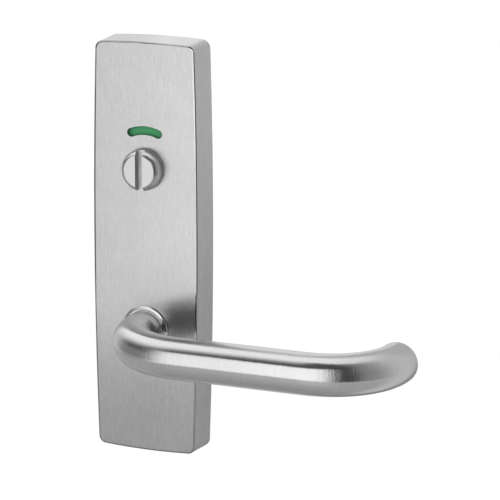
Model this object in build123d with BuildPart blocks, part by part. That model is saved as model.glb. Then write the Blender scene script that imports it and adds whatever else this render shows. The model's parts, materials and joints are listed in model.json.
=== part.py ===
"""Privacy lever handle on a long plate, for one side of a door.

Millimetres. The origin is the centre of the back face, on the door. +Z is up, +X runs towards the
lever's grip and -Y points away from the door. A height, below, is a distance in front of the door face,
so Plane.XZ.offset(height) is a plane at that height, seen from the front.
"""
from build123d import *
import math
import os

os.makedirs("parts", exist_ok=True)

# Plate
plate_width = 55.4
plate_height = 200.0
plate_depth = 17.0
side_bow = 1.7
end_bow = 0.95
wall_draft = 1.0
plate_corner = 4.5
least_corner = 0.5
face_bevel_width = 0.65
face_bevel_depth = 0.42
face_edge_round = 1.0
cover_wall = 1.5
axis_spacing = 78.0

# Window
window_radius = 18.3
window_height = 4.2
window_half_angle = 22.0

# Lever
tube_diameter = 19.5
tube_wall = 1.5
lever_projection = 39.5
lever_reach = 128.4
bend_radius = 32.9
return_gap = 23.4
tube_edge_break = 0.4
end_cap_thickness = 1.5
end_cap_inset = 0.3
collar_wall = 1.9
collar_proud = 1.0
collar_crown_width = 0.9
collar_crown_depth = 0.28
collar_bevel = 0.4
collar_flange_lip = 2.3
collar_flange_thickness = 1.2

# Lever bearing and drive
shank_diameter = 14.0
shank_setback = 0.3
shoulder_thickness = 3.0
plug_length = 6.5
bush_wall = 1.5
bush_flange_thickness = 1.0
bush_flange_lip = 2.0
boss_wall = 3.4
clip_thickness = 1.0
clip_land = 0.5
clip_groove_depth = 0.6
clip_width = 2.2
clip_gap = 3.0
washer_thickness = 0.8
spindle_side = 8.0
spindle_projection = 50.0
spindle_tip_chamfer = 0.8
spindle_socket_depth = 18.5
spindle_pin_diameter = 2.5
spindle_pin_height = 7.0
drive_flats = 12.0

# Return spring, its carrier and cover
carrier_thickness = 2.3
carrier_margin = 0.85
ear_gap = 1.5
ear_half_angle = 10.0
ear_rest_angle = 200.0
lever_travel = 45.0
stop_play = 0.6
stop_block_angle = 16.0
stop_block_gap = 1.5
stop_block_lead = 0.5
wire_diameter = 1.5
spring_turn_gap = 0.5
spring_bore_gap = 1.2
spring_leg = 12.0
tab_thickness = 2.4
tab_width = 4.0
spring_cover_thickness = 1.0
spring_cover_gap = 0.2
spring_ear_thickness = 1.2
spring_ear_width = 8.0
spring_ear_angle = 60.0

# Turn and indicator
knob_diameter = 20.0
knob_flange_height = 1.0
knob_flange_lip = 0.4
knob_rim_height = 4.6
knob_face_radius = 7.6
knob_height = 6.75
knob_shoulder_radius = 4.9
knob_slot_width = 3.7
knob_slot_depth = 3.9
turn_shaft_diameter = 14.0
turn_shaft_flats = 11.5
turn_bush_wall = 1.2
turn_bush_flange_lip = 1.4
turn_bush_flange_thickness = 0.8
turn_washer_thickness = 0.6
disc_thickness = 1.2
disc_wall = 1.2
disc_border = 1.0
disc_rim_thickness = 0.9
sector_thickness = 0.3
sector_half_angle = 40.0
tail_side = 8.0
tail_socket_depth = 7.9
tail_projection = 45.0

# Chassis
chassis_thickness = 3.0
lip_height = 7.0
lip_wall = 1.6
rib_thickness = 1.6
rib_height = 6.0
tail_hole_radius = 9.0

# Mounting posts and screws
post_end_distance = 17.0
post_diameter = 8.0
post_reach = 35.0
post_thread_radius = 2.1
post_thread_depth = 25.0
post_head_across = 11.0
post_head_height = 3.5
post_seat_height = 2.0
post_boss_radius = 8.0
post_boss_height = 6.0
cover_boss_radius = 3.5
cover_boss_side_distance = 10.7
cover_boss_end_distance = 11.0
screw_diameter = 3.0
screw_head_diameter = 5.6
screw_head_height = 1.6
screw_head_gap = 0.7
cover_screw_length = 9.0
thread_bottom = 1.0
cross_width = 0.7
cross_length = 3.0
cross_depth = 0.8

# Clearances
running_clearance = 0.05
seat_clearance = 0.02
end_float = 0.1
moving_gap = 0.3
chassis_gap = 0.2
hole_clearance = 0.15
pocket_clearance = 0.1

# Values worked out from the sizes above
lever_z = -axis_spacing / 2
turn_z = axis_spacing / 2
inner_face = plate_depth - cover_wall
bevel_low = plate_depth - face_bevel_depth
tube_radius = tube_diameter / 2
bore_radius = tube_radius - tube_wall
shank_radius = shank_diameter / 2
collar_bore = tube_radius + running_clearance
collar_radius = collar_bore + collar_wall
collar_back = inner_face - collar_flange_thickness
web_back = collar_back - spring_cover_thickness
carrier_front = web_back - moving_gap
carrier_back = carrier_front - carrier_thickness
shoulder_front = carrier_front + shoulder_thickness
bush_front = carrier_back - end_float
boss_front = bush_front - bush_flange_thickness
bush_outer = shank_radius + running_clearance + bush_wall
boss_radius = bush_outer + boss_wall
hub_clip_low = shank_setback + clip_land
hub_clip_high = hub_clip_low + clip_thickness
recess_depth = hub_clip_high + washer_thickness + end_float
clip_radius = shank_radius + clip_width
recess_radius = clip_radius + moving_gap + hole_clearance
wire_radius = wire_diameter / 2
spring_radius = boss_radius + spring_bore_gap + wire_radius
spring_low = chassis_thickness + moving_gap + wire_radius
spring_high = carrier_back - moving_gap - wire_radius
spring_outer = spring_radius + wire_radius
chassis_inset = cover_wall + chassis_gap
lip_inset = chassis_inset + lip_wall
side_bow_at_lever = side_bow * (2 * lever_z / plate_height) ** 2
lip_draft = wall_draft * lip_height / plate_depth
lip_inner = plate_width / 2 - side_bow_at_lever - lip_draft - lip_inset
spring_cover_radius = lip_inner - spring_cover_gap
spring_screw_radius = spring_cover_radius + screw_head_diameter / 2 + screw_head_gap
carrier_radius = spring_outer + carrier_margin
ear_radius = spring_cover_radius - spring_cover_thickness - ear_gap
grip_height = plate_depth + lever_projection


def offset_point(x, z, height):
    """The point at x and z, at a height in front of the door."""
    return Vector(x, -height, z)


def bowed_outline(inset):
    """The plate's outline with bowed sides and ends, drawn in by an inset."""
    half_width = plate_width / 2 - inset
    half_height = plate_height / 2 - inset
    x = half_width - side_bow
    z = half_height - end_bow
    with BuildSketch() as outline:
        with BuildLine():
            ThreePointArc((x, -z), (half_width, 0), (x, z))
            ThreePointArc((x, z), (0, half_height), (-x, z))
            ThreePointArc((-x, z), (-half_width, 0), (-x, -z))
            ThreePointArc((-x, -z), (0, -half_height), (x, -z))
        make_face()
        fillet(outline.vertices(), radius=max(plate_corner - inset, least_corner))
    return outline.sketch


def drafted(inset, low, high, mode=Mode.ADD, front_inset=0.0):
    """Add or cut a block with the plate's outline and draft, drawn in by an inset, and by more at its front."""
    outlines = []
    for height, more_inset in ((low, 0.0), (high, front_inset)):
        with BuildSketch(Plane.XZ.offset(height)) as outline:
            add(bowed_outline(inset + more_inset + wall_draft * height / plate_depth))
        outlines.append(outline.sketch)
    loft(outlines, ruled=True, mode=mode)


def turned(z, *points):
    """Revolve a closed outline of (radius, height) points about the axis at z."""
    with BuildSketch(Plane(origin=(0, 0, z), x_dir=(1, 0, 0), z_dir=(0, 0, -1))) as profile:
        with BuildLine():
            Polyline(*points, close=True)
        make_face()
    revolve(profile.sketch, axis=Axis((0, 0, z), (0, -1, 0)))


def ring(z, inner, outer, low, high):
    """Add a plain ring about the axis at z, between two heights."""
    turned(z, (inner, low), (outer, low), (outer, high), (inner, high))


def rod(x, z, radius, low, high, mode=Mode.ADD):
    """Add or cut a round rod square to the door, between two heights."""
    with BuildSketch(Plane.XZ.offset(low)) as profile:
        with Locations((x, z)):
            Circle(radius)
    extrude(profile.sketch, amount=high - low, mode=mode)


def bar(x, z, width, length, low, high, mode=Mode.ADD, rotation=0):
    """Add or cut a bar square to the door, width along X and length along Z, then turned."""
    with BuildSketch(Plane.XZ.offset(low)) as profile:
        with Locations((x, z)):
            Rectangle(width, length, rotation=rotation)
    extrude(profile.sketch, amount=high - low, mode=mode)


def sector(z, inner, outer, middle_angle, half_angle, low, high):
    """Add a piece of a ring about the axis at z, spread to each side of an angle."""
    first = middle_angle - half_angle
    last = middle_angle + half_angle
    with BuildSketch(Plane.XZ.offset(low)) as profile:
        with BuildLine():
            outer_arc = CenterArc((0, z), outer, first, last - first)
            inner_arc = CenterArc((0, z), inner, first, last - first)
            Line(outer_arc @ 0, inner_arc @ 0)
            Line(outer_arc @ 1, inner_arc @ 1)
        make_face()
    extrude(profile.sketch, amount=high - low)


def flatted_hole(z, radius, flats, low, high):
    """Cut a hole with two flats, for a shaft that turns what sits on it."""
    with BuildSketch(Plane.XZ.offset(low)) as profile:
        with Locations((0, z)):
            Circle(radius)
            Rectangle(2 * radius, flats, mode=Mode.INTERSECT)
    extrude(profile.sketch, amount=high - low, mode=Mode.SUBTRACT)


def shaft_flats(z, radius, flats, low, high):
    """Cut two flats on a shaft."""
    cut = radius - flats / 2
    for side in (1, -1):
        bar(0, z + side * (flats / 2 + cut / 2), 2 * radius, cut, low, high, Mode.SUBTRACT)


def clip_groove(z, radius, low):
    """Cut a retaining ring's groove into a shaft."""
    with BuildSketch(Plane.XZ.offset(low)) as profile:
        with Locations((0, z)):
            Circle(radius + clip_groove_depth)
            Circle(radius - clip_groove_depth, mode=Mode.SUBTRACT)
    extrude(profile.sketch, amount=clip_thickness, mode=Mode.SUBTRACT)


def circlip(z, radius, low):
    """Add an open retaining ring with two lugs, in a shaft's groove."""
    inner = radius - clip_groove_depth + seat_clearance
    outer = radius + clip_width - moving_gap
    lug = (outer - inner) / 2
    lug_x = clip_gap / 2 + lug
    lug_z = z - math.sqrt((inner + lug) ** 2 - lug_x ** 2)
    with BuildSketch(Plane.XZ.offset(low)) as profile:
        with Locations((0, z)):
            Circle(outer)
            Circle(inner, mode=Mode.SUBTRACT)
        with Locations((0, z - (inner + outer) / 2)):
            Rectangle(clip_gap, 2 * (outer - inner), mode=Mode.SUBTRACT)
        with Locations((lug_x, lug_z), (-lug_x, lug_z)):
            Circle(lug / 2, mode=Mode.SUBTRACT)
    extrude(profile.sketch, amount=clip_thickness)


def cross_recess(x, z, surface, inward):
    """Cut a screwdriver cross into a screw head; inward is 1 into greater heights and -1 into lesser."""
    low = min(surface, surface + inward * cross_depth)
    high = max(surface, surface + inward * cross_depth)
    bar(x, z, cross_width, cross_length, low, high, Mode.SUBTRACT)
    bar(x, z, cross_length, cross_width, low, high, Mode.SUBTRACT)


# Cover plate: a shell with drafted walls, open at the back, with four screw bosses inside
cover_boss_x = plate_width / 2 - cover_boss_side_distance
cover_boss_z = plate_height / 2 - cover_boss_end_distance
boss_places = [(x, z) for x in (-cover_boss_x, cover_boss_x) for z in (-cover_boss_z, cover_boss_z)]

with BuildPart() as cover_plate:
    drafted(0, 0, bevel_low)
    drafted(0, bevel_low, plate_depth, front_inset=face_bevel_width)
    fillet(cover_plate.faces().sort_by(Axis.Y)[0].edges(), radius=face_edge_round)
    drafted(cover_wall, 0, inner_face, Mode.SUBTRACT)
    for boss_x, boss_z in boss_places:
        rod(boss_x, boss_z, cover_boss_radius, chassis_thickness, inner_face)
        thread_radius = screw_diameter / 2 + seat_clearance
        thread_end = cover_screw_length + thread_bottom
        rod(boss_x, boss_z, thread_radius, chassis_thickness, thread_end, Mode.SUBTRACT)
    rod(0, lever_z, collar_radius + hole_clearance, inner_face, plate_depth, Mode.SUBTRACT)
    turn_bush_outer = turn_shaft_diameter / 2 + running_clearance + turn_bush_wall
    rod(0, turn_z, turn_bush_outer + seat_clearance, inner_face, plate_depth, Mode.SUBTRACT)
    with BuildSketch(Plane.XZ.offset(inner_face)):
        with BuildLine() as window_line:
            CenterArc((0, turn_z), window_radius, 90 - window_half_angle, 2 * window_half_angle)
        SlotArc(window_line.edges()[0], window_height)
    extrude(amount=cover_wall, mode=Mode.SUBTRACT)
cover_plate.part.label = "cover_plate"
export_step(cover_plate.part, "parts/cover_plate.step")

# Lever collar: a flanged ring held behind the cover's face, crowned and bevelled where it stands proud
collar_flange_radius = collar_radius + collar_flange_lip
collar_front = plate_depth + collar_proud
crown_low = collar_front - collar_crown_depth

with BuildPart() as lever_collar:
    turned(
        lever_z,
        (collar_bore, collar_back),
        (collar_flange_radius, collar_back),
        (collar_flange_radius, inner_face),
        (collar_radius, inner_face),
        (collar_radius, crown_low - collar_bevel),
        (collar_radius - collar_bevel, crown_low),
        (collar_radius - collar_bevel - collar_crown_width, collar_front),
        (collar_bore, collar_front),
    )
lever_collar.part.label = "lever_collar"
export_step(lever_collar.part, "parts/lever_collar.step")

# Lever handle: a round tube along a neck, two quarter bends, a straight grip and a short return
with BuildPart() as lever_handle:
    with BuildLine() as centreline:
        neck_end = offset_point(0, lever_z, grip_height - bend_radius)
        grip_start = offset_point(bend_radius, lever_z, grip_height)
        grip_end = offset_point(lever_reach - bend_radius, lever_z, grip_height)
        return_start = offset_point(lever_reach, lever_z, grip_height - bend_radius)
        Line(offset_point(0, lever_z, shoulder_front), neck_end)
        TangentArc(neck_end, grip_start, tangent=(0, -1, 0))
        Line(grip_start, grip_end)
        TangentArc(grip_end, return_start, tangent=(1, 0, 0))
        Line(return_start, offset_point(lever_reach, lever_z, return_gap))
    with BuildSketch(Plane(origin=offset_point(0, lever_z, shoulder_front), z_dir=(0, -1, 0))):
        Circle(tube_radius)
        Circle(bore_radius, mode=Mode.SUBTRACT)
    sweep(path=centreline.wires()[0])
    open_end = lever_handle.faces().filter_by(Plane.XZ).sort_by(Axis.X)[-1]
    chamfer(open_end.outer_wire().edges(), length=tube_edge_break)
lever_handle.part.label = "lever_handle"
export_step(lever_handle.part, "parts/lever_handle.step")

# End cap: a disc let into the tube's open end
with BuildPart() as lever_end_cap:
    cap_low = return_gap + end_cap_inset
    rod(lever_reach, lever_z, bore_radius - pocket_clearance, cap_low, cap_low + end_cap_thickness)
lever_end_cap.part.label = "lever_end_cap"
export_step(lever_end_cap.part, "parts/lever_end_cap.step")

# Lever hub: a plug in the tube, a shoulder that runs in the collar and a shank that runs in the bush
pin_hole_radius = spindle_pin_diameter / 2 + seat_clearance

with BuildPart() as lever_hub:
    plug_radius = bore_radius - seat_clearance
    turned(
        lever_z,
        (0, shank_setback),
        (shank_radius, shank_setback),
        (shank_radius, carrier_front),
        (tube_radius, carrier_front),
        (tube_radius, shoulder_front),
        (plug_radius, shoulder_front),
        (plug_radius, shoulder_front + plug_length),
        (0, shoulder_front + plug_length),
    )
    clip_groove(lever_z, shank_radius, hub_clip_low)
    shaft_flats(lever_z, shank_radius, drive_flats, carrier_back, carrier_front)
    socket_side = spindle_side + 2 * seat_clearance
    socket_top = shank_setback + spindle_socket_depth
    bar(0, lever_z, socket_side, socket_side, shank_setback, socket_top, Mode.SUBTRACT)
    with BuildSketch(Plane.YZ.offset(-shank_diameter)):
        with Locations((-spindle_pin_height, lever_z)):
            Circle(pin_hole_radius)
    extrude(amount=2 * shank_diameter, mode=Mode.SUBTRACT)
lever_hub.part.label = "lever_hub"
export_step(lever_hub.part, "parts/lever_hub.step")

# Lever spindle: the square bar that goes through the lock
with BuildPart() as lever_spindle:
    bar(0, lever_z, spindle_side, spindle_side, -spindle_projection, socket_top - pocket_clearance)
    chamfer(lever_spindle.faces().sort_by(Axis.Y)[-1].edges(), length=spindle_tip_chamfer)
    with BuildSketch(Plane.YZ.offset(-spindle_side)):
        with Locations((-spindle_pin_height, lever_z)):
            Circle(pin_hole_radius)
    extrude(amount=2 * spindle_side, mode=Mode.SUBTRACT)
lever_spindle.part.label = "lever_spindle"
export_step(lever_spindle.part, "parts/lever_spindle.step")

# Spindle pin: goes across the shank and the spindle, inside the bush
with BuildPart() as spindle_pin:
    pin_half_length = shank_radius - pocket_clearance
    with BuildSketch(Plane.YZ.offset(-pin_half_length)):
        with Locations((-spindle_pin_height, lever_z)):
            Circle(spindle_pin_diameter / 2)
    extrude(amount=2 * pin_half_length)
spindle_pin.part.label = "spindle_pin"
export_step(spindle_pin.part, "parts/spindle_pin.step")

# Lever bush: a flanged bearing pressed into the chassis boss
with BuildPart() as lever_bush:
    bush_bore = shank_radius + running_clearance
    flange_radius = bush_outer + bush_flange_lip
    turned(
        lever_z,
        (bush_bore, recess_depth),
        (bush_outer, recess_depth),
        (bush_outer, boss_front),
        (flange_radius, boss_front),
        (flange_radius, bush_front),
        (bush_bore, bush_front),
    )
lever_bush.part.label = "lever_bush"
export_step(lever_bush.part, "parts/lever_bush.step")

# Hub washer and circlip: hold the shank in the chassis from the back
with BuildPart() as hub_washer:
    ring(lever_z, shank_radius + hole_clearance, clip_radius, hub_clip_high, recess_depth - end_float)
hub_washer.part.label = "hub_washer"
export_step(hub_washer.part, "parts/hub_washer.step")

with BuildPart() as hub_circlip:
    circlip(lever_z, shank_radius, hub_clip_low)
hub_circlip.part.label = "hub_circlip"
export_step(hub_circlip.part, "parts/hub_circlip.step")

# Spring carrier: turns with the hub, its ear runs between the stops and its tab pushes the spring's leg
tab_x = spring_leg - tab_width / 2
tab_z = lever_z + spring_outer + pocket_clearance + tab_thickness / 2
tab_back = spring_high - wire_radius - pocket_clearance

with BuildPart() as spring_carrier:
    rod(0, lever_z, carrier_radius, carrier_back, carrier_front)
    sector(
        lever_z,
        boss_radius,
        ear_radius,
        ear_rest_angle,
        ear_half_angle,
        carrier_back,
        carrier_front,
    )
    bar(tab_x, tab_z, tab_width, tab_thickness, tab_back, carrier_front)
    arm_length = tab_z - lever_z
    bar(tab_x, lever_z + arm_length / 2, tab_width, arm_length, carrier_back, carrier_front)
    hole_radius = shank_radius + seat_clearance
    flatted_hole(lever_z, hole_radius, drive_flats + 2 * seat_clearance, carrier_back, carrier_front)
spring_carrier.part.label = "spring_carrier"
export_step(spring_carrier.part, "parts/spring_carrier.step")

# Return spring: a torsion spring of whole turns and three quarters, wound from tangent arcs
coil_pitch = wire_diameter + spring_turn_gap
whole_turns = math.floor((spring_high - spring_low) / coil_pitch - 3 / 4)
quarter_turns = 4 * whole_turns + 3
climb = (spring_high - spring_low) / quarter_turns


def spring_point(step):
    """The wire's centre after a number of quarter turns from the rear leg."""
    angle = -math.pi / 2 * step
    x = spring_radius * math.cos(angle)
    z = lever_z + spring_radius * math.sin(angle)
    return offset_point(x, z, spring_low + climb * step)


def spring_tangent(step):
    """The wire's direction there, level at both ends, where the legs begin."""
    angle = -math.pi / 2 * step
    rise = 0 if step in (0, quarter_turns) else climb * 2 / (math.pi * spring_radius)
    return Vector(math.sin(angle), -rise, -math.cos(angle)).normalized()


def biarc(start, start_tangent, end, end_tangent):
    """Join two points by two arcs that meet the directions at both ends."""
    chord = end - start
    both = start_tangent + end_tangent
    spread = 2 * (1 - start_tangent.dot(end_tangent))
    along = chord.dot(both)
    reach = (math.sqrt(along ** 2 + spread * chord.dot(chord)) - along) / spread
    first_corner = start + start_tangent * reach
    last_corner = end - end_tangent * reach
    middle = (first_corner + last_corner) * 0.5
    TangentArc(start, middle, tangent=start_tangent)
    TangentArc(middle, end, tangent=last_corner - first_corner)


with BuildPart() as return_spring:
    with BuildLine() as wire_line:
        leg_start = spring_point(0) - spring_tangent(0) * spring_leg
        Line(leg_start, spring_point(0))
        for step in range(quarter_turns):
            biarc(spring_point(step), spring_tangent(step), spring_point(step + 1), spring_tangent(step + 1))
        coil_end = spring_point(quarter_turns)
        Line(coil_end, coil_end + spring_tangent(quarter_turns) * spring_leg)
    with BuildSketch(Plane(origin=leg_start, z_dir=spring_tangent(0))):
        Circle(wire_radius)
    sweep(path=wire_line.wires()[0])
return_spring.part.label = "return_spring"
export_step(return_spring.part, "parts/return_spring.step")
print("gap between the spring's turns", round(climb * 4 - wire_diameter, 2))

# Spring cover: a pressed cup over the spring and carrier, with two slanted ears on the chassis
ear_x = spring_screw_radius * math.cos(math.radians(spring_ear_angle))
ear_rise = spring_screw_radius * math.sin(math.radians(spring_ear_angle))
ear_places = [(side * ear_x, lever_z + side * ear_rise) for side in (1, -1)]
ear_front = chassis_thickness + spring_ear_thickness

with BuildPart() as spring_cover:
    bar(
        0,
        lever_z,
        2 * spring_screw_radius,
        spring_ear_width,
        chassis_thickness,
        ear_front,
        rotation=spring_ear_angle,
    )
    for x, z in ear_places:
        rod(x, z, spring_ear_width / 2, chassis_thickness, ear_front)
    rod(0, lever_z, spring_cover_radius, chassis_thickness, collar_back)
    cup_inner = spring_cover_radius - spring_cover_thickness
    rod(0, lever_z, cup_inner, chassis_thickness, web_back, Mode.SUBTRACT)
    rod(0, lever_z, tube_radius + moving_gap, web_back, collar_back, Mode.SUBTRACT)
    for x, z in ear_places:
        rod(x, z, screw_diameter / 2 + hole_clearance, chassis_thickness, ear_front, Mode.SUBTRACT)
spring_cover.part.label = "spring_cover"
export_step(spring_cover.part, "parts/spring_cover.step")

with BuildPart() as spring_cover_screws:
    for x, z in ear_places:
        rod(x, z, screw_diameter / 2, shank_setback, ear_front)
        head_front = ear_front + screw_head_height
        rod(x, z, screw_head_diameter / 2, ear_front, head_front)
        cross_recess(x, z, head_front, -1)
spring_cover_screws.part.label = "spring_cover_screws"
export_step(spring_cover_screws.part, "parts/spring_cover_screws.step")

# Turn knob: a flanged coin-slot knob and its shaft, with flats for the disc and a square socket
knob_base = plate_depth + moving_gap
turn_radius = turn_shaft_diameter / 2
turn_bush_back = inner_face - turn_bush_flange_thickness
turn_washer_back = turn_bush_back - turn_washer_thickness
first_clip_low = turn_washer_back - end_float - clip_thickness
disc_seat = first_clip_low - end_float
disc_back = disc_seat - disc_thickness
second_clip_low = disc_back - clip_thickness
turn_shaft_end = second_clip_low - clip_land

with BuildPart() as turn_knob:
    knob_radius = knob_diameter / 2
    rim_radius = knob_radius - knob_flange_lip
    knob_top = knob_base + knob_height
    rim = (rim_radius, knob_base + knob_rim_height)
    face_edge = (knob_face_radius, knob_top)
    with BuildSketch(Plane(origin=(0, 0, turn_z), x_dir=(1, 0, 0), z_dir=(0, 0, -1))) as knob_profile:
        with BuildLine():
            Polyline(
                face_edge,
                (0, knob_top),
                (0, turn_shaft_end),
                (turn_radius, turn_shaft_end),
                (turn_radius, knob_base),
                (knob_radius, knob_base),
                (knob_radius, knob_base + knob_flange_height),
                (rim_radius, knob_base + knob_flange_height),
                rim,
            )
            RadiusArc(rim, face_edge, -knob_shoulder_radius)
        make_face()
    revolve(knob_profile.sketch, axis=Axis((0, 0, turn_z), (0, -1, 0)))
    bar(0, turn_z, knob_slot_width, 2 * knob_diameter, knob_top - knob_slot_depth, knob_top, Mode.SUBTRACT)
    clip_groove(turn_z, turn_radius, first_clip_low)
    clip_groove(turn_z, turn_radius, second_clip_low)
    shaft_flats(turn_z, turn_radius, turn_shaft_flats, turn_shaft_end, disc_seat)
    tail_socket_side = tail_side + 2 * seat_clearance
    tail_socket_top = turn_shaft_end + tail_socket_depth
    bar(0, turn_z, tail_socket_side, tail_socket_side, turn_shaft_end, tail_socket_top, Mode.SUBTRACT)
turn_knob.part.label = "turn_knob"
export_step(turn_knob.part, "parts/turn_knob.step")

# Turn tail: the square bar that works the lock's privacy bolt
with BuildPart() as turn_tail:
    bar(0, turn_z, tail_side, tail_side, -tail_projection, tail_socket_top - pocket_clearance)
    chamfer(turn_tail.faces().sort_by(Axis.Y)[-1].edges(), length=spindle_tip_chamfer)
turn_tail.part.label = "turn_tail"
export_step(turn_tail.part, "parts/turn_tail.step")

# Turn bush, friction washer and the two circlips on the turn's shaft
with BuildPart() as turn_bush:
    turn_bush_bore = turn_radius + running_clearance
    turn_flange_radius = turn_bush_outer + turn_bush_flange_lip
    turned(
        turn_z,
        (turn_bush_bore, turn_bush_back),
        (turn_flange_radius, turn_bush_back),
        (turn_flange_radius, inner_face),
        (turn_bush_outer, inner_face),
        (turn_bush_outer, plate_depth),
        (turn_bush_bore, plate_depth),
    )
turn_bush.part.label = "turn_bush"
export_step(turn_bush.part, "parts/turn_bush.step")

with BuildPart() as turn_washer:
    ring(turn_z, turn_radius + hole_clearance, turn_flange_radius, turn_washer_back, turn_bush_back)
turn_washer.part.label = "turn_washer"
export_step(turn_washer.part, "parts/turn_washer.step")

with BuildPart() as turn_circlips:
    circlip(turn_z, turn_radius, first_clip_low)
    circlip(turn_z, turn_radius, second_clip_low)
turn_circlips.part.label = "turn_circlips"
export_step(turn_circlips.part, "parts/turn_circlips.step")

# Indicator disc: dished so that its rim runs close behind the window while its middle clears the bush
sector_front = inner_face - moving_gap
rim_front = sector_front - sector_thickness
rim_back = rim_front - disc_rim_thickness
sector_inner = window_radius - window_height / 2 - disc_border
sector_outer = window_radius + window_height / 2 + disc_border
dish_outer = sector_inner
dish_inner = dish_outer - disc_wall

with BuildPart() as indicator_disc:
    turned(
        turn_z,
        (0, disc_back),
        (dish_outer, disc_back),
        (dish_outer, rim_back),
        (sector_outer + disc_border, rim_back),
        (sector_outer + disc_border, rim_front),
        (dish_inner, rim_front),
        (dish_inner, disc_seat),
        (0, disc_seat),
    )
    disc_hole = turn_radius + seat_clearance
    flatted_hole(turn_z, disc_hole, turn_shaft_flats + 2 * seat_clearance, disc_back, disc_seat)
indicator_disc.part.label = "indicator_disc"
export_step(indicator_disc.part, "parts/indicator_disc.step")

with BuildPart() as vacant_sector:
    sector(turn_z, sector_inner, sector_outer, 90, sector_half_angle, rim_front, sector_front)
vacant_sector.part.label = "vacant_sector"
export_step(vacant_sector.part, "parts/vacant_sector.step")

with BuildPart() as engaged_sector:
    sector(turn_z, sector_inner, sector_outer, 180, sector_half_angle, rim_front, sector_front)
engaged_sector.part.label = "engaged_sector"
export_step(engaged_sector.part, "parts/engaged_sector.step")

# Chassis plate: closes the cover's back and carries the bearing, stops, spring anchor and posts
post_z = plate_height / 2 - post_end_distance
post_places = [post_z, -post_z]
limit_stop_angle = ear_rest_angle - lever_travel - ear_half_angle - stop_play - stop_block_angle / 2
rest_stop_angle = ear_rest_angle + ear_half_angle + stop_play + stop_block_angle / 2
disc_radius = sector_outer + disc_border
lower_rib_z = (lever_z + spring_cover_radius + turn_z - disc_radius) / 2
upper_rib_z = (turn_z + disc_radius + post_z - post_boss_radius) / 2

with BuildPart() as chassis_plate:
    drafted(chassis_inset, 0, lip_height)
    drafted(lip_inset, chassis_thickness, lip_height, Mode.SUBTRACT)
    for rib_z in (lower_rib_z, upper_rib_z):
        rib_length = plate_width - 2 * (chassis_inset + side_bow + wall_draft)
        bar(0, rib_z, rib_length, rib_thickness, chassis_thickness, rib_height)
    rod(0, lever_z, boss_radius, chassis_thickness, boss_front)
    for stop_angle in (rest_stop_angle, limit_stop_angle):
        sector(
            lever_z,
            carrier_radius + stop_block_gap,
            ear_radius + stop_block_lead,
            stop_angle,
            stop_block_angle / 2,
            chassis_thickness,
            carrier_front,
        )
    anchor_x = spring_outer + pocket_clearance + tab_thickness / 2
    anchor_z = lever_z + spring_leg - tab_width / 2
    bar(anchor_x, anchor_z, tab_thickness, tab_width, chassis_thickness, spring_low + wire_diameter)
    for z in post_places:
        rod(0, z, post_boss_radius, chassis_thickness, post_boss_height)
        with BuildSketch(Plane.XZ.offset(post_seat_height)):
            with Locations((0, z)):
                RegularPolygon(post_head_across / 2 + pocket_clearance, 6, major_radius=False)
        extrude(amount=post_boss_height - post_seat_height, mode=Mode.SUBTRACT)
        rod(0, z, post_diameter / 2 + pocket_clearance, 0, post_seat_height, Mode.SUBTRACT)
    rod(0, lever_z, bush_outer + seat_clearance, 0, boss_front, Mode.SUBTRACT)
    rod(0, lever_z, recess_radius, 0, recess_depth, Mode.SUBTRACT)
    rod(0, turn_z, tail_hole_radius, 0, chassis_thickness, Mode.SUBTRACT)
    for x, z in ear_places:
        rod(x, z, screw_diameter / 2 + seat_clearance, 0, chassis_thickness, Mode.SUBTRACT)
    for boss_x, boss_z in boss_places:
        rod(boss_x, boss_z, screw_diameter / 2 + hole_clearance, 0, chassis_thickness, Mode.SUBTRACT)
        with BuildSketch(Plane.XZ):
            with Locations((boss_x, boss_z)):
                Circle(screw_head_diameter / 2 + hole_clearance)
        with BuildSketch(Plane.XZ.offset(screw_head_height)):
            with Locations((boss_x, boss_z)):
                Circle(screw_diameter / 2 + hole_clearance)
        loft(mode=Mode.SUBTRACT)
chassis_plate.part.label = "chassis_plate"
export_step(chassis_plate.part, "parts/chassis_plate.step")

# Cover screws: countersunk, from the back through the chassis into the cover's bosses
with BuildPart() as cover_screws:
    for boss_x, boss_z in boss_places:
        rod(boss_x, boss_z, screw_diameter / 2, screw_head_height, cover_screw_length)
        with BuildSketch(Plane.XZ.offset(pocket_clearance)):
            with Locations((boss_x, boss_z)):
                Circle(screw_head_diameter / 2)
        with BuildSketch(Plane.XZ.offset(screw_head_height)):
            with Locations((boss_x, boss_z)):
                Circle(screw_diameter / 2)
        loft()
        cross_recess(boss_x, boss_z, pocket_clearance, 1)
cover_screws.part.label = "cover_screws"
export_step(cover_screws.part, "parts/cover_screws.step")

# Mounting posts: hexagon heads in the chassis, tapped from the free end
with BuildPart() as mounting_posts:
    for z in post_places:
        rod(0, z, post_diameter / 2, -post_reach, post_seat_height)
        with BuildSketch(Plane.XZ.offset(post_seat_height)):
            with Locations((0, z)):
                RegularPolygon(post_head_across / 2, 6, major_radius=False)
        extrude(amount=post_head_height)
        rod(0, z, post_thread_radius, -post_reach, post_thread_depth - post_reach, Mode.SUBTRACT)
mounting_posts.part.label = "mounting_posts"
export_step(mounting_posts.part, "parts/mounting_posts.step")
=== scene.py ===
"""Looks for the privacy lever handle: satin stainless steel in a soft studio.

Metres, in the part's own frame: the origin is the centre of the back face on the door, +Z is up, +X runs
towards the lever's grip and -Y points away from the door. An azimuth, below, is seen from the object:
0 is straight out of the door, along -Y, and 90 is towards +X.
"""
import json
import math

import bmesh
import bpy
from mathutils import Matrix, Vector


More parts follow.
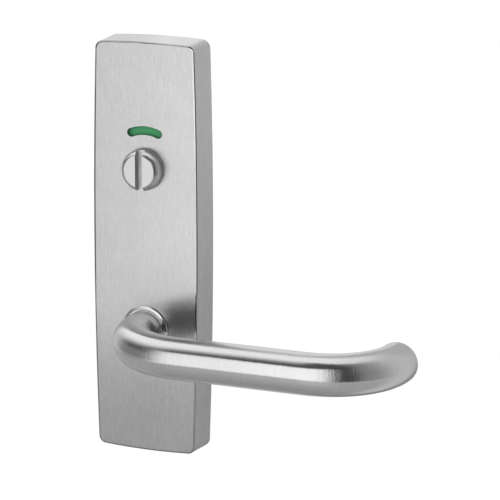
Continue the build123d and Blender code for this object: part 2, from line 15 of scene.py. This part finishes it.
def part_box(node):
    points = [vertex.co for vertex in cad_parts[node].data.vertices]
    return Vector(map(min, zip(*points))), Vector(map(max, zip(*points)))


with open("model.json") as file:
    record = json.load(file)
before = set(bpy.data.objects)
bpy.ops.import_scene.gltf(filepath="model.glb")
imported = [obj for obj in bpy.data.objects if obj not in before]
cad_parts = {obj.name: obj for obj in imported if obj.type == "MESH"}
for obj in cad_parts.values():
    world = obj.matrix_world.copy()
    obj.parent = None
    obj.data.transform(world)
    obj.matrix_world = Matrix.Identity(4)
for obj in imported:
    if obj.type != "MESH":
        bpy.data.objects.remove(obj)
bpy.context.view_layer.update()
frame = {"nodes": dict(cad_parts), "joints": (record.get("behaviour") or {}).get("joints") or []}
MM = 0.001

# Camera, as fitted to the photograph
CAMERA_AZIMUTH = 21.856
CAMERA_ELEVATION = 13.447
CAMERA_ROLL = 0.303
CAMERA_PLACE = (442.55 * MM, -987.37 * MM, 255.03 * MM)
FOCAL_PIXELS = 2319.74
IMAGE_PIXELS = 500
SENSOR_WIDTH = 36.0
NEAREST_SEEN = 10 * MM

# Lever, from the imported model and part.py. Its tube bends round an imagined block, whose corners are the
# centres of the bends.
LEVER_JOINT = next(j for j in frame["joints"] if j["name"] == "lever_turn")
LEVER_Z = LEVER_JOINT["pos_m"][2]
TUBE_RADIUS = (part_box("lever_handle")[1].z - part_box("lever_handle")[0].z) / 2
LEVER_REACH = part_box("lever_handle")[1].x - TUBE_RADIUS
GRIP_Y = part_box("lever_handle")[0].y + TUBE_RADIUS
BEND_RADIUS = 32.9 * MM
FIRST_BEND_X = BEND_RADIUS
LAST_BEND_X = LEVER_REACH - BEND_RADIUS
BENDS_Y = GRIP_Y + BEND_RADIUS

# Turn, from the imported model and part.py. Its depths are counted from its front.
TURN_JOINT = next(j for j in frame["joints"] if j["name"] == "privacy_turn")
TURN_Z = TURN_JOINT["pos_m"][2]
KNOB_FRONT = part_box("turn_knob")[0].y
SLOT_HALF_WIDTH = 1.85 * MM
SLOT_DEPTH = 3.9 * MM
SHOULDER_DEPTH = 1.2 * MM
FOOT_DEPTH = 6.5 * MM

# The slot's painted shade and light, and its rougher finish, fade out just past its walls. They end softly
# near the turn's front and past the floor.
SLOT_FADE = (SLOT_HALF_WIDTH + 0.06 * MM, SLOT_HALF_WIDTH + 0.01 * MM)
SLOT_ENDS = (0.2 * MM, SLOT_DEPTH + 0.1 * MM)
SLOT_END_SOFTNESS = (0.2 * MM, 0.1 * MM)

# Grain, in noise cells per metre. Round the tube it is in cells per unit of the surface's direction. Wide
# streaks have these shares of the cells.
UPRIGHT_GRAIN = (2600, 2600, 430)
TURNED_GRAIN = 2400
TUBE_GRAIN = 1500
ROUND_TUBE_GRAIN = 4.0
WIDE_STREAKS = (0.5, 0.5, 0.3)
FINE_SHARE = 0.6
CLOUDS_PER_METRE = 45.0
CLOUD_TONES = (0.97, 1.02)

# From where to where a surface counts as facing an axis, as the slot's floor, and as an edge
ALONG_AXIS = (0.5, 0.9)
ON_SLOT_FLOOR = (0.9, 0.97)
ON_EDGE = (0.99, 0.9)

# Worn, polished and coarse steel, and painted light and shade on it. A tone is what the steel's level is
# multiplied by.
WEAR_RADIUS = 0.35 * MM
WORN_TONE = 1.06
WORN_ROUGHNESS_FACTOR = 0.55
POLISHED_ROUGHNESS = 0.1
# The painted dark line on the plate's bevel, a painted reflection, has this tone
BEVEL_DARK_LINE_TONE = 0.62
COARSE_ROUGHNESS = 0.5
# Painted shade on the turn's slot walls and towards its foot, and painted light on the slot's floor, at
# these tones
CUT_SHADE_TONE = 0.55
SLOT_FLOOR_LIGHT_TONE = 1.4

# The inner side of the lever's first bend, which is rougher and darkened with painted shade: from where to
# where it counts as facing the block, and how far it fades out towards the neck and along the grip
BEND_SHADE_TONE = 0.25
BENT_FACING = (-0.45, -0.85)
BENT_NECK_FADE = 4 * MM
BENT_GRIP_FADE = 15 * MM

# The plate's bevel is smoothed by polish all round. It has a painted dark line, a painted reflection, until
# x / CORNER_X + z / CORNER_Z reaches the first limit. The painted line is gone from the second limit on,
# which is near the upper right corner.
BEVEL_FACING = (0.2, 0.97)
BEVEL_SOFTNESS = (0.08, 0.04)
CORNER_X = 27 * MM
CORNER_Z = 60 * MM
CORNER_LIMITS = (1.4, 2.0)

# The plate's lower end, from where it begins to turn rougher and darker, with painted shade, to where it is
# fully so
DARK_ROUGH_FOOT_Z = (-38 * MM, -70 * MM)
# Painted shade on the plate's lower end, at this tone
FOOT_SHADE_TONE = 0.88
FOOT_COARSENESS = 0.1

# Cast, plated and oiled metal: the usual range of two noises' product
MOTTLE_RANGE = (0.1, 0.45)

# Plastic, which is darkened with painted shade where its surroundings shelter it
PLASTIC_TONES = (0.92, 1.06)
SHELTER_DISTANCE = 5 * MM
OPENNESS_RANGE = (0.3, 0.75)
SHELTER_SHADE_TONE = 0.2

# Studio: a near dome of soft boxes and cards. Each card has its azimuths, elevations, the softness of its
# left, right, lower and upper edges, the rise of its lower edge per degree of azimuth, and its strength.
# A later card covers an earlier one.
DOME_RADIUS = 0.4
DOME_LEVEL = 0.80
CARDS = {
    "below": ((-140, 92), (-100, -22), (20, 20, 8, 8), 0, 0.554),
    "far_below": ((-140, 92), (-100, -40), (20, 20, 20, 30), 0, 0.53),
    "straight_below": ((-200, 200), (-100, -64), (1, 1, 20, 20), 0, 0.444),
    "left_gap": ((-98, -45), (-27, -13), (20, 16, 5, 5), 0, 0.46),
    "spill": ((-11, 34), (-42, -22), (44, 30, 24, 8), 0, 0.75),
    "behind_left": ((-200, -135), (0, 50), (1, 20, 16, 16), 0, 0.9),
    "behind_left_high": ((-200, -135), (21, 50), (1, 20, 8, 16), 0, 1.11),
    "behind_low": ((-169, -130), (-52, -6), (8, 16, 14, 8), 0, 0.55),
    "behind_side": ((128, 200), (-30, 60), (14, 1, 20, 30), 0, 0.66),
    "behind_right": ((134, 200), (-100, -12), (14, 1, 1, 30), 0, 0.33),
    "right": ((28, 88), (-21, 90), (10, 34, 4, 10), 0, 0.37),
    "left": ((-101, -30), (-17, 90), (34, 16, 5, 10), 0, 0.296),
    "left_upper": ((-97, -44), (9, 90), (24, 20, 8, 10), 0, 0.136),
    "above_front": ((-30, 60), (28, 90), (10, 24, 4, 10), 0, 0.111),
    "camera_side": ((33, 59), (-20, 40), (8, 18, 4, 16), 0, 0.03),
    "ceiling_left": ((-135, 5), (66, 120), (16, 10, 36, 10), 0.43, 1.4),
    "ceiling_right": ((5, 76), (76, 120), (10, 20, 14, 10), -0.33, 1.36),
    "ceiling_far_right": ((72, 150), (50, 120), (24, 40, 22, 10), 0, 1.18),
    "ceiling": ((-200, 200), (72, 120), (1, 1, 8, 10), 0, 1.39),
    "front_box": ((-27, 31), (-20.5, 34), (56, 26, 5, 4), 0, 1.6),
}

# Floor and room
FLOOR_Z = -1.05
FLOOR_HALF_SIZE = 40.0
FLOOR_COLOUR = 0.9
FLOOR_GLOW = 0.3
ROOM_LIGHT = 0.8


class Graph:
    """A node tree that is wired by calls."""

    def __init__(self, tree):
        self.tree = tree
        tree.nodes.clear()

    def node(self, kind, inputs=None, **settings):
        """Adds a node, sets its properties and feeds its inputs with numbers or outputs."""
        made = self.tree.nodes.new(kind)
        for name, value in settings.items():
            setattr(made, name, value)
        for name, value in (inputs or {}).items():
            self.feed(made.inputs[name], value)
        return made

    def feed(self, socket, value):
        """Links an output to an input, or sets the input's own value."""
        if isinstance(value, bpy.types.NodeSocket):
            self.tree.links.new(value, socket)
        else:
            socket.default_value = value

    def math(self, operation, first, second=0.0, clamp=False):
        """A number worked out from one or two others."""
        made = self.node("ShaderNodeMath", {0: first, 1: second}, operation=operation, use_clamp=clamp)
        return made.outputs[0]

    def product(self, first, *others):
        """Numbers multiplied together."""
        for other in others:
            first = self.math("MULTIPLY", first, other)
        return first

    def vector(self, operation, first, second=(0, 0, 0)):
        """A vector worked out from one or two others, or their dot product or length."""
        made = self.node("ShaderNodeVectorMath", {0: first, 1: second}, operation=operation)
        return made.outputs["Value" if operation in ("DOT_PRODUCT", "LENGTH") else "Vector"]

    def remap(self, value, low, high, to_low, to_high):
        """A number moved from one range to another, and kept inside it."""
        made = self.node(
            "ShaderNodeMapRange",
            {"Value": value, "From Min": low, "From Max": high, "To Min": to_low, "To Max": to_high},
        )
        return made.outputs["Result"]

    def step(self, value, low, high):
        """0 at one end of a range, 1 at the other, and a smooth rise between."""
        made = self.node(
            "ShaderNodeMapRange",
            {"Value": value, "From Min": low, "From Max": high},
            interpolation_type="SMOOTHSTEP",
        )
        return made.outputs["Result"]

    def between(self, value, ends, softness):
        """1 between two ends and 0 outside them. Each end is spread out over its softness."""
        rise, fall = (
            self.step(value, end - width / 2, end + width / 2) for end, width in zip(ends, softness)
        )
        return self.math("SUBTRACT", rise, fall, clamp=True)

    def blend(self, share, first, second):
        """The first number where share is 0, and the second where it is 1."""
        made = self.node("ShaderNodeMix", {"Factor": share, "A": first, "B": second}, data_type="FLOAT")
        return made.outputs[0]

    def noise(self, place, scale, detail, roughness):
        """A number from 0 to 1 that wanders with the place."""
        made = self.node(
            "ShaderNodeTexNoise",
            {"Vector": place, "Scale": scale, "Detail": detail, "Roughness": roughness},
        )
        return made.outputs["Fac"]

    def spread(self, noise, low, high):
        """A noise's usual range, from 0.3 to 0.7, moved to another."""
        return self.remap(noise, 0.3, 0.7, low, high)

    def vary(self, value, noise, share):
        """A value that a noise moves down and up by a share of itself."""
        return self.spread(noise, value * (1 - share), value * (1 + share))

    def relief(self, height, strength, depth):
        """The surface's direction with a noise's bumps on it, a depth high."""
        bump = self.node("ShaderNodeBump", {"Height": height, "Strength": strength, "Distance": depth})
        return bump.outputs["Normal"]

    def combine(self, x, y, z):
        """A vector from three numbers."""
        return self.node("ShaderNodeCombineXYZ", {"X": x, "Y": y, "Z": z}).outputs[0]

    def split(self, vector):
        """The three numbers of a vector."""
        return self.node("ShaderNodeSeparateXYZ", {0: vector}).outputs

    def grey(self, value):
        """A grey of that level."""
        return self.combine(value, value, value)

    def object_place(self):
        """The place on the object, which moves with it."""
        return self.node("ShaderNodeTexCoord").outputs["Object"]

    def object_normal(self):
        """The surface's direction, which moves with the object."""
        return self.node("ShaderNodeTexCoord").outputs["Normal"]

    def facing(self):
        """How squarely the surface faces along X, Y and Z, to either side."""
        return self.split(self.vector("ABSOLUTE", self.object_normal()))

    def to_world(self, vector):
        """A direction on the object, turned into the world."""
        made = self.node(
            "ShaderNodeVectorTransform",
            {"Vector": vector},
            vector_type="VECTOR",
            convert_from="OBJECT",
            convert_to="WORLD",
        )
        return made.outputs[0]

    def surface(self, shader):
        """Ends the graph with a material's surface."""
        self.node("ShaderNodeOutputMaterial", {"Surface": shader.outputs[0]})


def new_material(name):
    """A material and the graph that it is wired with."""
    material = bpy.data.materials.new(name)
    material.use_nodes = True
    return material, Graph(material.node_tree)


def brushed_steel(name, level, roughness, anisotropy, grain, contrast, depth, polished_with_painted_tone=None, coarse_with_painted_tone=None):
    """Satin steel. grain(graph) gives the place stretched along the grain, and the direction across it.

    The last two arguments are functions of the graph that give two numbers each: 1 where an edge has been
    smoothed by polish, or where the metal is rough from a cutter or a bender, and what the tone is
    multiplied by.
    That tone is painted light and shade: a painted dark line on the plate's bevel, painted shade in the
    turn's slot, towards its foot, on the plate's lower end and inside the lever's bend, and painted light on
    the slot's floor.
    """
    material, graph = new_material(name)
    place, across = grain(graph)
    wide_place = graph.vector("MULTIPLY", place, WIDE_STREAKS)
    fine = graph.noise(place, scale=1.0, detail=3.0, roughness=0.6)
    wide = graph.noise(wide_place, scale=1.0, detail=2.0, roughness=0.5)
    cloud = graph.noise(graph.object_place(), scale=CLOUDS_PER_METRE, detail=2.0, roughness=0.5)
    streaks = graph.math("ADD", graph.product(fine, FINE_SHARE), graph.product(wide, 1 - FINE_SHARE))
    worn = edge_wear(graph)
    tone = graph.product(
        graph.vary(level, streaks, contrast),
        graph.spread(cloud, *CLOUD_TONES),
        graph.blend(worn, 1.0, WORN_TONE),
    )
    rough = graph.product(
        graph.vary(roughness, streaks, share=0.1),
        graph.blend(worn, 1.0, WORN_ROUGHNESS_FACTOR),
    )
    # Each function's tone is painted light and shade, multiplied into the steel's tone
    for find_places, their_roughness in ((polished_with_painted_tone, POLISHED_ROUGHNESS), (coarse_with_painted_tone, COARSE_ROUGHNESS)):
        if find_places:
            share, their_painted_tone = find_places(graph)
            tone = graph.product(tone, their_painted_tone)
            rough = graph.blend(share, rough, their_roughness)
    shader = graph.node(
        "ShaderNodeBsdfPrincipled",
        {
            "Base Color": graph.grey(tone),
            "Metallic": 1.0,
            "Roughness": rough,
            "Anisotropic": anisotropy,
            "Normal": graph.relief(streaks, strength=1.0, depth=depth),
            "Tangent": graph.to_world(across),
        },
    )
    graph.surface(shader)
    return material


def edge_wear(graph):
    """From 0 on open faces to 1 on edges, where pressing and handling have smoothed the grain."""
    rounded = graph.node("ShaderNodeBevel", {"Radius": WEAR_RADIUS}, samples=4).outputs["Normal"]
    plain = graph.node("ShaderNodeNewGeometry").outputs["Normal"]
    return graph.step(graph.vector("DOT_PRODUCT", rounded, plain), *ON_EDGE)


def bevel_polish_and_dark_line(graph):
    """The bevel round the plate's front: smoothed by polish, with a painted dark line, a painted reflection,
    which fades out towards the upper right corner.
    """
    x, _, z = graph.split(graph.object_place())
    # The bevel is smoother all round and has a painted dark line, a painted reflection, away from the upper
    # right corner
    on_bevel = graph.between(graph.facing()[1], BEVEL_FACING, BEVEL_SOFTNESS)
    to_corner = graph.math("ADD", graph.math("DIVIDE", x, CORNER_X), graph.math("DIVIDE", z, CORNER_Z))
    return on_bevel, graph.blend(on_bevel, 1.0, graph.remap(to_corner, *CORNER_LIMITS, BEVEL_DARK_LINE_TONE, 1.0))


def plate_foot(graph):
    """The lower end of the plate's front, which is a little rougher and darkened with painted shade."""
    low = graph.step(graph.split(graph.object_place())[2], *DARK_ROUGH_FOOT_Z)
    on_front = graph.step(graph.facing()[1], *ALONG_AXIS)
    share = graph.product(low, on_front)
    return graph.product(share, FOOT_COARSENESS), graph.blend(share, 1.0, FOOT_SHADE_TONE)


def turn_cuts(graph):
    """The turn's slot and the foot of its side, which are rougher: painted shade on the slot's walls,
    painted light on its floor, and a darker tone towards the foot, partly painted contact shade.
    """
    x, y, _ = graph.split(graph.object_place())
    side_facing, front_facing, _ = graph.facing()
    depth = graph.math("SUBTRACT", y, KNOB_FRONT)
    in_slot = graph.step(graph.math("ABSOLUTE", x), *SLOT_FADE)
    cut_deep = graph.between(depth, SLOT_ENDS, SLOT_END_SOFTNESS)
    on_wall = graph.step(side_facing, *ALONG_AXIS)
    on_floor = graph.step(front_facing, *ON_SLOT_FLOOR)
    slot = graph.product(in_slot, cut_deep, graph.math("ADD", on_wall, on_floor))
    # Darker towards the foot, partly painted contact shade
    to_foot = graph.remap(depth, SHOULDER_DEPTH, FOOT_DEPTH, 0.0, 1.0)
    foot = graph.product(to_foot, graph.math("SUBTRACT", 1.0, slot))
    # Painted shade on the slot's walls and painted light on its floor
    slot_painted_tone = graph.blend(on_wall, SLOT_FLOOR_LIGHT_TONE, CUT_SHADE_TONE)
    tone = graph.blend(slot, graph.blend(foot, 1.0, CUT_SHADE_TONE), slot_painted_tone)
    return graph.math("MAXIMUM", slot, foot), tone


def round_block(graph):
    """The nearest x and y of the block that the lever bends round, and the x and y from there outwards."""
    x, y, _ = graph.split(graph.object_place())
    block_x = graph.math("MINIMUM", graph.math("MAXIMUM", x, FIRST_BEND_X), LAST_BEND_X)
    block_y = graph.math("MAXIMUM", y, BENDS_Y)
    return block_x, block_y, graph.math("SUBTRACT", x, block_x), graph.math("SUBTRACT", y, block_y)


def bend_inside(graph):
    """The inner side of the lever's first bend, which is rougher and darkened with painted shade."""
    x, y, _ = graph.split(graph.object_place())
    _, _, out_x, out_y = round_block(graph)
    outward = graph.vector("NORMALIZE", graph.combine(out_x, out_y, 0.0))
    inside = graph.step(graph.vector("DOT_PRODUCT", graph.object_normal(), outward), *BENT_FACING)
    past_neck = graph.step(y, BENDS_Y, BENDS_Y - BENT_NECK_FADE)
    before_grip = graph.step(x, FIRST_BEND_X + BENT_GRIP_FADE, FIRST_BEND_X)
    share = graph.product(inside, past_neck, before_grip)
    return share, graph.blend(share, 1.0, BEND_SHADE_TONE)


def upright_grain(graph):
    """Grain along Z, as on the cover plate."""
    place = graph.vector("MULTIPLY", graph.object_place(), UPRIGHT_GRAIN)
    across = graph.vector("CROSS_PRODUCT", graph.object_normal(), (0, 0, 1))
    return place, across


def tube_grain(graph):
    """Grain round the bent tube: fine along its axis and drawn out round it."""
    block_x, block_y, out_x, out_y = round_block(graph)
    turned = graph.math("ARCTAN2", out_x, graph.product(out_y, -1.0))
    on_bend = graph.product(turned, BEND_RADIUS)
    past_bend = graph.product(graph.math("SIGN", out_x), graph.math("SUBTRACT", block_y, BENDS_Y))
    along = graph.math("ADD", block_x, graph.math("ADD", on_bend, past_bend))
    outward = graph.vector("NORMALIZE", graph.combine(out_x, out_y, 0.0))
    normal = graph.object_normal()
    place = graph.combine(
        graph.product(along, TUBE_GRAIN),
        graph.product(graph.vector("DOT_PRODUCT", normal, outward), ROUND_TUBE_GRAIN),
        graph.product(graph.split(normal)[2], ROUND_TUBE_GRAIN),
    )
    return place, graph.vector("CROSS_PRODUCT", (0, 0, 1), outward)


def turned_grain(centre_z):
    """Grain in rings about an axis that runs out of the door, as on the turned pieces."""

    def grain(graph):
        x, y, z = graph.split(graph.object_place())
        from_axis = graph.combine(x, 0.0, graph.math("SUBTRACT", z, centre_z))
        radius = graph.vector("LENGTH", from_axis)
        place = graph.combine(graph.product(radius, TURNED_GRAIN), graph.product(y, TURNED_GRAIN), 0.0)
        outward = graph.vector("NORMALIZE", from_axis)
        along_ring = graph.vector("CROSS_PRODUCT", (0, 1, 0), outward)
        across = graph.vector("CROSS_PRODUCT", graph.object_normal(), along_ring)
        return place, across

    return grain


def plain_metal(name, level, roughness, speckle, contrast, depth, tint):
    """Plated, cast or oiled metal without a grain."""
    material, graph = new_material(name)
    place = graph.object_place()
    cloud = graph.noise(place, scale=160.0, detail=4.0, roughness=0.6)
    grit = graph.noise(place, scale=speckle, detail=3.0, roughness=0.6)
    mottle = graph.product(cloud, grit)
    shade = graph.remap(mottle, *MOTTLE_RANGE, level * (1 - contrast), level * (1 + contrast))
    shader = graph.node(
        "ShaderNodeBsdfPrincipled",
        {
            "Base Color": graph.vector("MULTIPLY", graph.grey(shade), tint),
            "Metallic": 1.0,
            "Roughness": graph.vary(roughness, grit, share=0.2),
            "Normal": graph.relief(grit, strength=1.0, depth=depth),
        },
    )
    graph.surface(shader)
    return material


def moulded_plastic(name, colour, roughness):
    """Plastic with a faint moulded texture, slight unevenness of colour and painted shade in sheltered
    places.
    """
    material, graph = new_material(name)
    place = graph.object_place()
    cloud = graph.noise(place, scale=220.0, detail=3.0, roughness=0.5)
    grit = graph.noise(place, scale=2400.0, detail=2.0, roughness=0.5)
    # Painted shade from ambient occlusion: darker where other surfaces are near
    openness = graph.node("ShaderNodeAmbientOcclusion", {"Distance": SHELTER_DISTANCE}, samples=16)
    tone = graph.product(
        graph.spread(cloud, *PLASTIC_TONES),
        graph.remap(openness.outputs["AO"], *OPENNESS_RANGE, SHELTER_SHADE_TONE, 1.0),
    )
    shader = graph.node(
        "ShaderNodeBsdfPrincipled",
        {
            "Base Color": graph.vector("MULTIPLY", colour, graph.grey(tone)),
            "Roughness": graph.vary(roughness, grit, share=0.15),
            "Normal": graph.relief(grit, strength=0.2, depth=0.02 * MM),
        },
    )
    graph.surface(shader)
    return material


def dress(material, *names):
    """Gives CAD nodes a material."""
    for name in names:
        slots = frame["nodes"][name].data.materials
        slots.clear()
        slots.append(material)


def dress_in_steel():
    """The finishes of the pieces that show."""
    plate_steel = brushed_steel(
        "plate_steel",
        level=0.575,
        roughness=0.34,
        anisotropy=0.7,
        grain=upright_grain,
        contrast=0.14,
        depth=0.004 * MM,
        polished_with_painted_tone=bevel_polish_and_dark_line,
        coarse_with_painted_tone=plate_foot,
    )
    lever_steel = brushed_steel(
        "lever_steel",
        level=0.56,
        roughness=0.18,
        anisotropy=0.8,
        grain=tube_grain,
        contrast=0.045,
        depth=0.09 * MM,
        coarse_with_painted_tone=bend_inside,
    )
    collar_steel = brushed_steel(
        "collar_steel",
        level=0.57,
        roughness=0.16,
        anisotropy=0.3,
        grain=turned_grain(LEVER_Z),
        contrast=0.03,
        depth=0.001 * MM,
    )
    knob_steel = brushed_steel(
        "knob_steel",
        level=0.55,
        roughness=0.22,
        anisotropy=0.3,
        grain=turned_grain(TURN_Z),
        contrast=0.03,
        depth=0.001 * MM,
        coarse_with_painted_tone=turn_cuts,
    )
    dress(plate_steel, "cover_plate")
    dress(lever_steel, "lever_handle", "lever_end_cap")
    dress(collar_steel, "lever_collar", "lever_hub")
    dress(knob_steel, "turn_knob")


def dress_behind():
    """The finishes of the pieces behind the plate and its window."""
    plated = plain_metal(
        "zinc_plated_steel",
        level=0.56,
        roughness=0.25,
        speckle=900.0,
        contrast=0.05,
        depth=0.0015 * MM,
        tint=(0.97, 0.99, 1.03),
    )
    cast = plain_metal(
        "cast_zinc",
        level=0.42,
        roughness=0.45,
        speckle=900.0,
        contrast=0.12,
        depth=0.006 * MM,
        tint=(0.98, 1.0, 1.02),
    )
    oiled = plain_metal(
        "spring_steel",
        level=0.26,
        roughness=0.30,
        speckle=1800.0,
        contrast=0.08,
        depth=0.002 * MM,
        tint=(1.0, 0.98, 0.95),
    )
    acetal = moulded_plastic("acetal", colour=(0.80, 0.80, 0.77), roughness=0.4)
    green = moulded_plastic("indicator_green", colour=(0.035, 0.40, 0.135), roughness=0.45)
    red = moulded_plastic("indicator_red", colour=(0.55, 0.03, 0.03), roughness=0.45)
    dress(plated, "mounting_posts", "cover_screws", "spring_cover", "spring_cover_screws")
    dress(plated, "lever_spindle", "spring_carrier", "hub_washer", "turn_tail")
    dress(cast, "chassis_plate")
    dress(oiled, "return_spring", "spindle_pin", "hub_circlip", "turn_circlips")
    dress(acetal, "lever_bush", "turn_bush", "turn_washer", "indicator_disc")
    dress(green, "vacant_sector")
    dress(red, "engaged_sector")


def direction(azimuth, elevation):
    """The direction at an azimuth and elevation, in degrees, seen from the object."""
    a = math.radians(azimuth)
    e = math.radians(elevation)
    return Vector((math.sin(a) * math.cos(e), -math.cos(a) * math.cos(e), math.sin(e)))


def add_object(name, data):
    """An object in the scene."""
    made = bpy.data.objects.new(name, data)
    bpy.context.scene.collection.objects.link(made)
    return made


def build_studio():
    """A dome that only reflections see, with soft boxes and darker cards."""
    mesh = bpy.data.meshes.new("studio_dome")
    ball = bmesh.new()
    bmesh.ops.create_icosphere(ball, subdivisions=4, radius=DOME_RADIUS)
    ball.to_mesh(mesh)
    ball.free()
    material, graph = new_material("studio_dome")
    x, y, z = graph.split(graph.vector("NORMALIZE", graph.object_place()))
    azimuth = graph.math("DEGREES", graph.math("ARCTAN2", x, graph.product(y, -1.0)))
    elevation = graph.math("DEGREES", graph.math("ARCSINE", z))
    light = DOME_LEVEL
    for azimuths, elevations, softness, rise, strength in CARDS.values():
        tilted = graph.math("SUBTRACT", elevation, graph.product(azimuth, rise))
        across = graph.between(azimuth, azimuths, softness[:2])
        upright = graph.between(tilted, elevations, softness[2:])
        light = graph.blend(graph.product(across, upright), light, strength)
    graph.surface(graph.node("ShaderNodeEmission", {"Strength": light}))
    mesh.materials.append(material)
    dome = add_object("studio_dome", mesh)
    dome.visible_camera = False
    dome.visible_diffuse = False
    dome.visible_shadow = False


def background_share(graph):
    """1 for what the camera, a reflection or glass sees of the background, and 0 for its light."""
    path = graph.node("ShaderNodeLightPath").outputs
    seen = graph.math("ADD", path["Is Camera Ray"], path["Is Glossy Ray"])
    return graph.math("ADD", seen, path["Is Transmission Ray"], clamp=True)


def build_world():
    """A white background over a grey light."""
    world = bpy.data.worlds.new("studio_world")
    world.use_nodes = True
    bpy.context.scene.world = world
    graph = Graph(world.node_tree)
    light = graph.node("ShaderNodeBackground", {"Color": (1, 1, 1, 1), "Strength": ROOM_LIGHT})
    white = graph.node("ShaderNodeBackground", {"Color": (1, 1, 1, 1), "Strength": 1.0})
    mixed = graph.node(
        "ShaderNodeMixShader",
        {0: background_share(graph), 1: light.outputs[0], 2: white.outputs[0]},
    )
    graph.node("ShaderNodeOutputWorld", {"Surface": mixed.outputs[0]})


def build_floor():
    """A plain white floor, as far below as a door's lever stands above one."""
    mesh = bpy.data.meshes.new("floor")
    half = FLOOR_HALF_SIZE
    corners = [(x, y, FLOOR_Z) for x, y in ((-half, -half), (half, -half), (half, half), (-half, half))]
    mesh.from_pydata(corners, [], [(0, 1, 2, 3)])
    material, graph = new_material("floor")
    matte = graph.node("ShaderNodeBsdfDiffuse", {"Color": (FLOOR_COLOUR, FLOOR_COLOUR, FLOOR_COLOUR, 1)})
    glow = graph.product(background_share(graph), FLOOR_GLOW)
    white = graph.node("ShaderNodeEmission", {"Strength": glow})
    graph.surface(graph.node("ShaderNodeAddShader", {0: matte.outputs[0], 1: white.outputs[0]}))
    mesh.materials.append(material)
    floor = add_object("floor", mesh)


def place_camera():
    """The photograph's view."""
    back = direction(CAMERA_AZIMUTH, CAMERA_ELEVATION)
    level = Vector((0, 0, 1)).cross(back).normalized()
    upright = back.cross(level)
    roll = math.radians(CAMERA_ROLL)
    right = level * math.cos(roll) + upright * math.sin(roll)
    up = upright * math.cos(roll) - level * math.sin(roll)
    data = bpy.data.cameras.new("camera")
    data.sensor_width = SENSOR_WIDTH
    data.lens = FOCAL_PIXELS * SENSOR_WIDTH / IMAGE_PIXELS
    data.clip_start = NEAREST_SEEN
    camera = add_object("camera", data)
    turn = Matrix((right, up, back)).transposed().to_4x4()
    camera.matrix_world = Matrix.Translation(CAMERA_PLACE) @ turn
    bpy.context.scene.camera = camera


dress_in_steel()
dress_behind()
build_studio()
build_world()
build_floor()
place_camera()
bpy.context.scene.view_settings.view_transform = "Standard"
